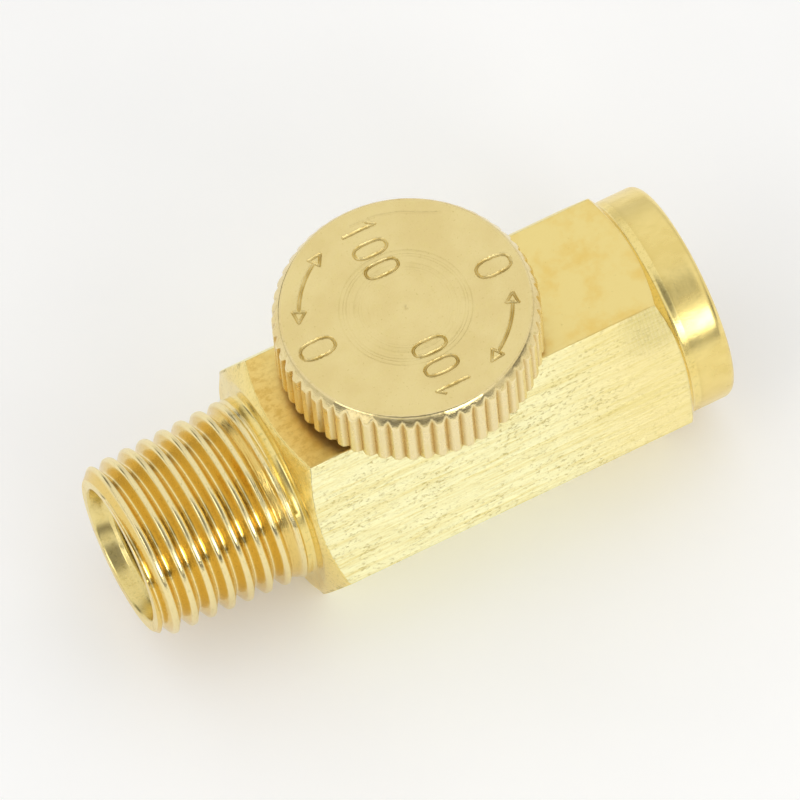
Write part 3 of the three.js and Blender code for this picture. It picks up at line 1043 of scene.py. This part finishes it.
flat_brass = drawn_brass(
    "drawn_brass", colour(0.985, 0.94, 0.56), colour(0.95, 0.82, 0.4), 0.035, 0.42
)
top_brass = milled_brass("milled_brass", colour(0.91, 0.74, 0.29), colour(0.87, 0.62, 0.17), 0.34)
bore_brass = turned_brass("bore_brass", colour(0.88, 0.73, 0.32), colour(0.84, 0.68, 0.27), 0.22)
lathe_brass = turned_brass("turned_brass", colour(0.93, 0.76, 0.3), colour(0.89, 0.7, 0.24), 0.24)
# The thread's second colour is painted shade for its flanks and roots.
thread_brass = threaded_brass(
    "thread_brass", colour(0.9, 0.76, 0.39), colour(0.82, 0.6, 0.19), 0.15
)
collar_brass = collared_brass(
    "collar_brass", colour(0.91, 0.73, 0.28), colour(0.84, 0.66, 0.23), 0.25
)
# The knurl's second colour is painted shade for its grooves.
rim_brass = knurled_brass("knurl_brass", colour(0.92, 0.78, 0.44), colour(0.64, 0.46, 0.16), 0.3)
chamfer_brass = turned_brass(
    "chamfer_brass", colour(0.86, 0.72, 0.38), colour(0.8, 0.64, 0.3), 0.17, 0.004, along_x=False
)
face_brass = faced_brass("faced_brass", colour(0.88, 0.73, 0.345), colour(0.83, 0.67, 0.3), 0.4)
plug_brass = turned_brass(
    "plug_brass", colour(0.92, 0.77, 0.34), colour(0.88, 0.71, 0.27), 0.22, along_x=False
)
steel = spring_steel("spring_steel")
rubber = seal_rubber("nitrile_rubber")
nylon = washer_nylon("nylon")

dress(
    build_body(), "body", "valve_body", "body_brass",
    flat_brass, top_brass, lathe_brass, thread_brass, collar_brass, bore_brass,
)
dress(build_knob(), "dial", "control_knob", "knob_brass", rim_brass, face_brass, chamfer_brass)
dress(build_plug(), "dial", "metering_plug", "plug_brass", plug_brass)
dress(build_seal("upper_seal", "upper_o_ring"), "dial", "upper_o_ring", "nitrile_rubber", rubber)
dress(build_seal("lower_seal", "lower_o_ring"), "dial", "lower_o_ring", "nitrile_rubber", rubber)
dress(
    build_washer("nylon_thrust_washer", thrust_low, thrust_high, PLUG_R + 0.05, 0.12),
    "body", "thrust_washer", "nylon", nylon,
)
dress(build_wave_washer(), "body", "wave_washer", "spring_steel", steel)
dress(
    build_washer("steel_flat_washer", washer_low, washer_high, STUB_R + 0.05),
    "dial", "flat_washer", "spring_steel", steel,
)
dress(build_clip(), "dial", "retaining_clip", "spring_steel", steel)

# ------------------------------------------------------------------ floor, light and camera
object_low, object_high = (Vector(corner) for corner in cad_box)
middle = (object_low + object_high) / 2
VIEW_RIGHT = Vector((0.88702, -0.45837, -0.05552)).normalized()
TO_CAMERA = Vector((-0.19218, -0.47585, 0.85827)).normalized()
UP = Vector((0, 0, 1))
LENS = 659
CAMERA_DISTANCE = 1.008
LIGHT_DISTANCE = 0.6
FLOOR_HALF = 3.0


def build_floor():
    mesh = bpy.data.meshes.new("floor")
    z = object_low.z - 0.00002
    corners = [
        (side_x * FLOOR_HALF, side_y * FLOOR_HALF, z)
        for side_x, side_y in ((-1, -1), (1, -1), (1, 1), (-1, 1))
    ]
    mesh.from_pydata(corners, [], [(0, 1, 2, 3)])
    s = Shader("pale_floor")
    grain = s.noise((0.05, 0.05, 0.05), detail=2)
    tint = s.mix(s.ramp(grain, 0.3, 0.7), colour(0.96, 0.96, 0.955), colour(0.94, 0.94, 0.935))
    s.surface.inputs["Emission Color"].default_value = colour(1, 1, 1)
    mesh.materials.append(s.set(Base_Color=tint, Roughness=0.85, Emission_Strength=0.13))
    floor = add_piece("floor", mesh)


def softbox(name, direction, size, power):
    """An area light that faces the object from the given direction."""
    light = bpy.data.lights.new(name, "AREA")
    light.shape = "RECTANGLE"
    light.size, light.size_y = size
    light.energy = power
    lamp = bpy.data.objects.new(name, light)
    bpy.context.scene.collection.objects.link(lamp)
    away = Vector(direction).normalized()
    lamp.location = middle + away * LIGHT_DISTANCE
    lamp.rotation_euler = away.to_track_quat("Z", "Y").to_euler()


def build_world():
    """A white tent: open round the camera, dark low on the near side, three gaps, one glow."""
    world = bpy.data.worlds.new("tent")
    world.use_nodes = True
    tree = world.node_tree
    background = tree.nodes["Background"]
    sky = tree.nodes.new("ShaderNodeTexCoord").outputs["Generated"]

    def towards(direction, low, high, to_low, to_high):
        """A smooth change of brightness with the angle from a direction."""
        dot = tree.nodes.new("ShaderNodeVectorMath")
        dot.operation = "DOT_PRODUCT"
        tree.links.new(sky, dot.inputs[0])
        dot.inputs[1].default_value = Vector(direction).normalized()
        span = tree.nodes.new("ShaderNodeMapRange")
        span.interpolation_type = "SMOOTHSTEP"
        tree.links.new(dot.outputs["Value"], span.inputs["Value"])
        span.inputs["From Min"].default_value = math.cos(math.radians(low))
        span.inputs["From Max"].default_value = math.cos(math.radians(high))
        span.inputs["To Min"].default_value = to_low
        span.inputs["To Max"].default_value = to_high
        return span.outputs["Result"]

    def join(operation, a, b):
        node = tree.nodes.new("ShaderNodeMath")
        node.operation = operation
        tree.links.new(a, node.inputs[0])
        tree.links.new(b, node.inputs[1])
        return node.outputs[0]

    # The tent's lower edge: light below it and above it, dark between them on the near side.
    horizon = join("MAXIMUM", towards(UP, 92, 88, 1.0, 0.25), towards(UP, 79, 70, 0.25, 1.0))
    horizon = join("MAXIMUM", horizon, towards((-0.42, -0.9, 0), 62, 46, 1.0, 0.0))
    brightness = join("MULTIPLY", horizon, towards((0.2, -0.95, 0.1), 75, 20, 0.93, 0.97))
    brightness = join("MULTIPLY", brightness, towards(UP, 88, 48, 0.76, 1.0))
    brightness = join("MULTIPLY", brightness, towards(TO_CAMERA, 30, 17, 1.0, 0.3))
    for gap in ((-0.85, -0.45, 0.22), (0.87, -0.48, 0.1), (-0.35, 0.9, 0.2)):
        brightness = join("MULTIPLY", brightness, towards(gap, 17, 8, 1.0, 0.2))
    brightness = join("MAXIMUM", brightness, towards((-0.87, -0.48, 0.09), 15, 8, 0.0, 1.3))
    tree.links.new(brightness, background.inputs["Strength"])
    background.inputs["Color"].default_value = colour(1, 0.995, 0.985)
    bpy.context.scene.world = world


def build_camera():
    """Looks down on the near side with a long lens, rolled a few degrees as in the view."""
    ahead = -TO_CAMERA
    down = ahead.cross(VIEW_RIGHT)
    lens = bpy.data.cameras.new("camera")
    lens.sensor_width = 36
    lens.lens = LENS
    lens.clip_end = 20
    camera = bpy.data.objects.new("camera", lens)
    bpy.context.scene.collection.objects.link(camera)
    axes = Matrix((VIEW_RIGHT, -down, -ahead)).transposed().to_4x4()
    camera.matrix_world = Matrix.Translation(middle - ahead * CAMERA_DISTANCE) @ axes
    bpy.context.scene.camera = camera


build_floor()
build_world()
softbox("key", (0.175, -0.9, 0.4), (0.25, 0.2), 0.48)
softbox("side", (-0.75, -0.3, 0.6), (0.2, 0.35), 0.3)
build_camera()

scene = bpy.context.scene
scene.view_settings.view_transform = "Standard"
